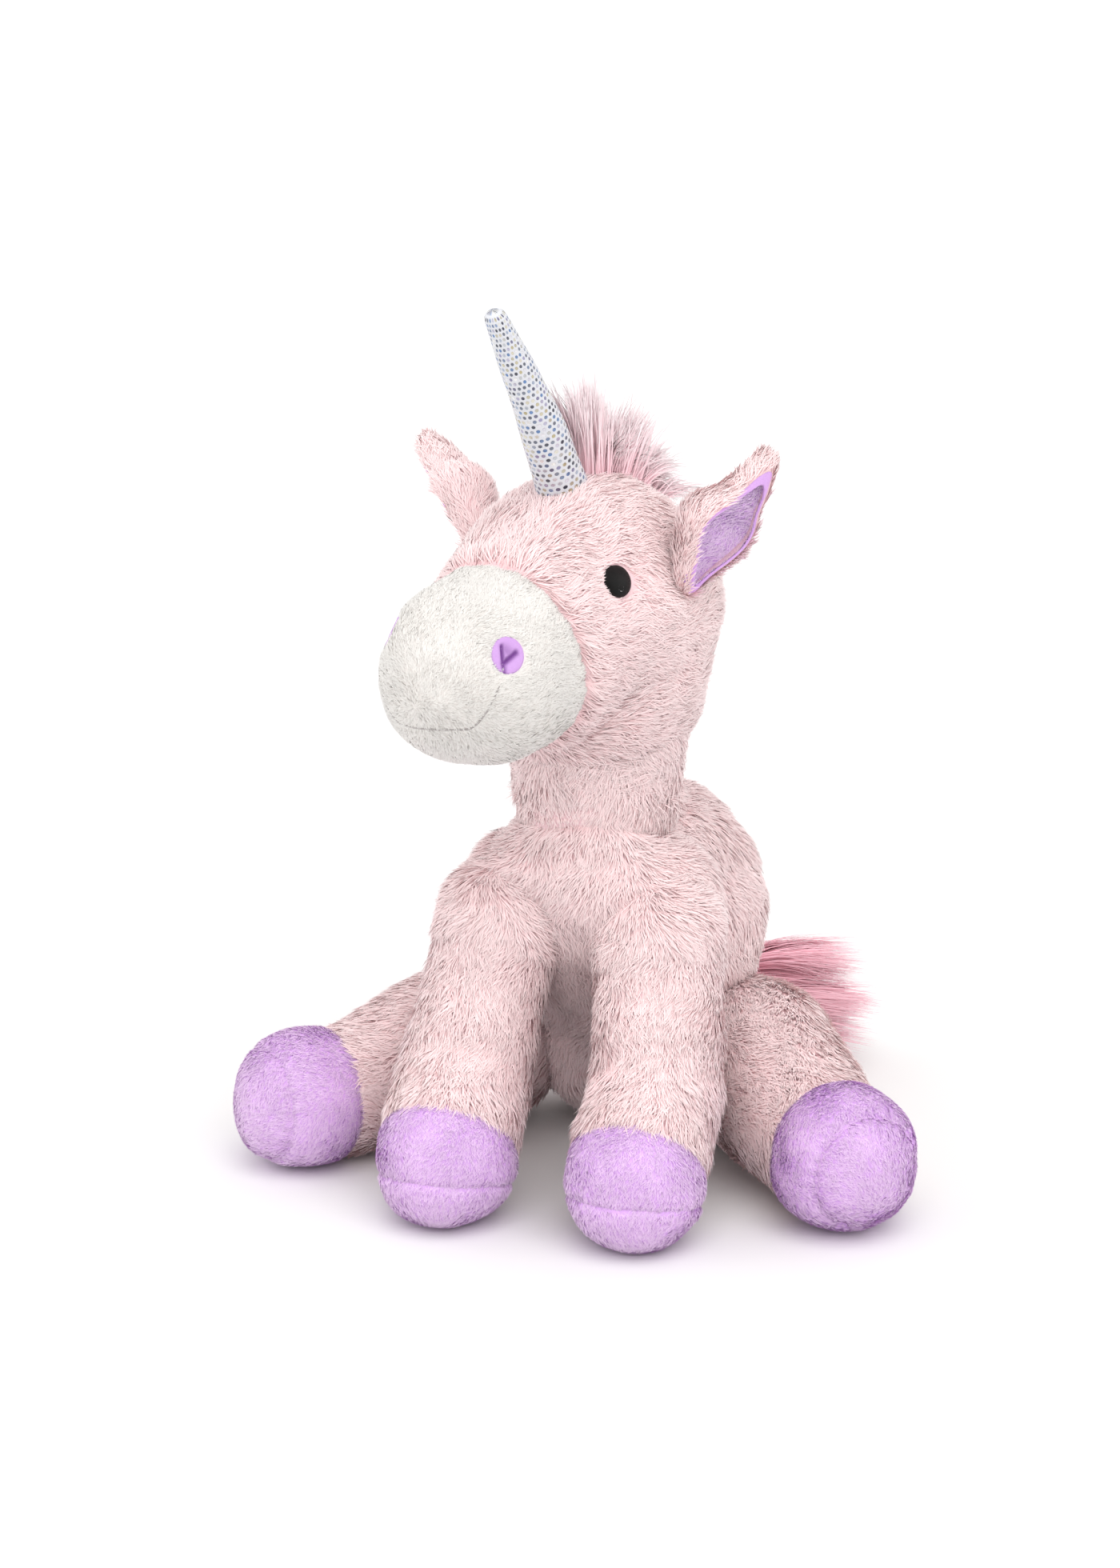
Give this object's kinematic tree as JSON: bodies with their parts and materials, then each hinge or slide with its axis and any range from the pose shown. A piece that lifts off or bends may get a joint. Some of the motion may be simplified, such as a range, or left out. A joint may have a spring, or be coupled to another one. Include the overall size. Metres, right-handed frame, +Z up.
{
  "type": "plush unicorn",
  "caption": "Seated plush unicorn with floppy legs, soft spangled horn, long mane and tail, and pellet-weighted seat and hooves.",
  "frame": {"origin": "centre of the seat's flat underside, on the floor", "axes": "+Z up, -Y the way the toy faces, +X its left"},
  "size_m": [0.259, 0.237, 0.3266],
  "materials": {
    "pink_fur": "matte",
    "cream_plush": "matte",
    "purple_plush": "matte",
    "black_embroidery": "satin",
    "white_thread": "satin",
    "grey_thread": "matte",
    "spangled_fabric": "metallic dots",
    "pink_hair": "matte",
    "rose_hair": "matte",
    "cotton_tape": "matte",
    "polyester_fill": "matte",
    "pellet_fill": "matte"
  },
  "bodies": {
    "torso": {"torso_cover": "pink_fur", "torso_stuffing": "polyester_fill", "seat_pellet_pouch": "pellet_fill"},
    "neck": {"neck_cover": "pink_fur", "neck_stuffing": "polyester_fill"},
    "head": {"head_cover": "pink_fur", "head_stuffing": "polyester_fill", "muzzle_cover": "cream_plush", "muzzle_stuffing": "polyester_fill", "left_eye": "black_embroidery", "right_eye": "black_embroidery", "left_eye_glint": "white_thread", "right_eye_glint": "white_thread", "left_nostril": "purple_plush", "right_nostril": "purple_plush", "mouth_stitch": "grey_thread", "mane_tape": "cotton_tape", "mane_hair": "pink_hair"},
    "horn": {"horn_cover": "spangled_fabric", "horn_stuffing": "polyester_fill"},
    "tail": {"tail_tab": "cotton_tape", "tail_hair": "rose_hair"},
    "left_ear": {"left_ear_back": "pink_fur", "left_ear_lining": "purple_plush"},
    "left_foreleg": {"left_foreleg_cover": "pink_fur", "left_foreleg_stuffing": "polyester_fill", "left_foreleg_hoof_cover": "purple_plush", "left_foreleg_hoof_sole": "purple_plush", "left_foreleg_hoof_pellets": "pellet_fill"},
    "left_hindleg": {"left_hindleg_cover": "pink_fur", "left_hindleg_stuffing": "polyester_fill", "left_hindleg_hoof_cover": "purple_plush", "left_hindleg_hoof_sole": "purple_plush", "left_hindleg_hoof_pellets": "pellet_fill"},
    "right_ear": {"right_ear_back": "pink_fur", "right_ear_lining": "purple_plush"},
    "right_foreleg": {"right_foreleg_cover": "pink_fur", "right_foreleg_stuffing": "polyester_fill", "right_foreleg_hoof_cover": "purple_plush", "right_foreleg_hoof_sole": "purple_plush", "right_foreleg_hoof_pellets": "pellet_fill"},
    "right_hindleg": {"right_hindleg_cover": "pink_fur", "right_hindleg_stuffing": "polyester_fill", "right_hindleg_hoof_cover": "purple_plush", "right_hindleg_hoof_sole": "purple_plush", "right_hindleg_hoof_pellets": "pellet_fill"}
  },
  "joints": [
    {"name": "neck_nod", "type": "hinge", "parent": "torso", "child": "neck", "pos_m": [0, -0.053, 0.142], "axis": [1, 0, 0], "range_deg": [-10, 14]},
    {"name": "head_turn", "type": "hinge", "parent": "neck", "child": "head", "pos_m": [0, -0.053, 0.168], "axis": [0, 0, 1], "range_deg": [-36, 74]},
    {"name": "horn_bend", "type": "hinge", "parent": "head", "child": "horn", "pos_m": [-0.00725, -0.07405, 0.25878], "axis": [0.9455, -0.3256, 0], "range_deg": [-12, 12], "stiffness_Nm_per_rad": 0.2},
    {"name": "tail_swing", "type": "hinge", "parent": "torso", "child": "tail", "pos_m": [0, 0.04206, 0.03106], "axis": [0, 0, 1], "range_deg": [-5, 125]},
    {"name": "left_ear_fold", "type": "hinge", "parent": "head", "child": "left_ear", "pos_m": [0.03946, -0.07716, 0.22895], "axis": [0.8188, -0.282, -0.5], "range_deg": [-20, 20], "stiffness_Nm_per_rad": 0.1},
    {"name": "right_ear_fold", "type": "hinge", "parent": "head", "child": "right_ear", "pos_m": [-0.04597, -0.04775, 0.22895], "axis": [0.6327, -0.2179, 0.7431], "range_deg": [-20, 20], "stiffness_Nm_per_rad": 0.1},
    {"name": "left_foreleg_swing", "type": "hinge", "parent": "torso", "child": "left_foreleg", "pos_m": [0.03, -0.076, 0.098], "axis": [1, 0, 0], "range_deg": [-70, 5]},
    {"name": "right_foreleg_swing", "type": "hinge", "parent": "torso", "child": "right_foreleg", "pos_m": [-0.03, -0.076, 0.098], "axis": [1, 0, 0], "range_deg": [-70, 5]},
    {"name": "left_hindleg_splay", "type": "hinge", "parent": "torso", "child": "left_hindleg", "pos_m": [0.053, -0.024, 0.033], "axis": [0, 0, 1], "range_deg": [-4, 40]},
    {"name": "right_hindleg_splay", "type": "hinge", "parent": "torso", "child": "right_hindleg", "pos_m": [-0.053, -0.024, 0.033], "axis": [0, 0, 1], "range_deg": [-40, 4]}
  ]
}
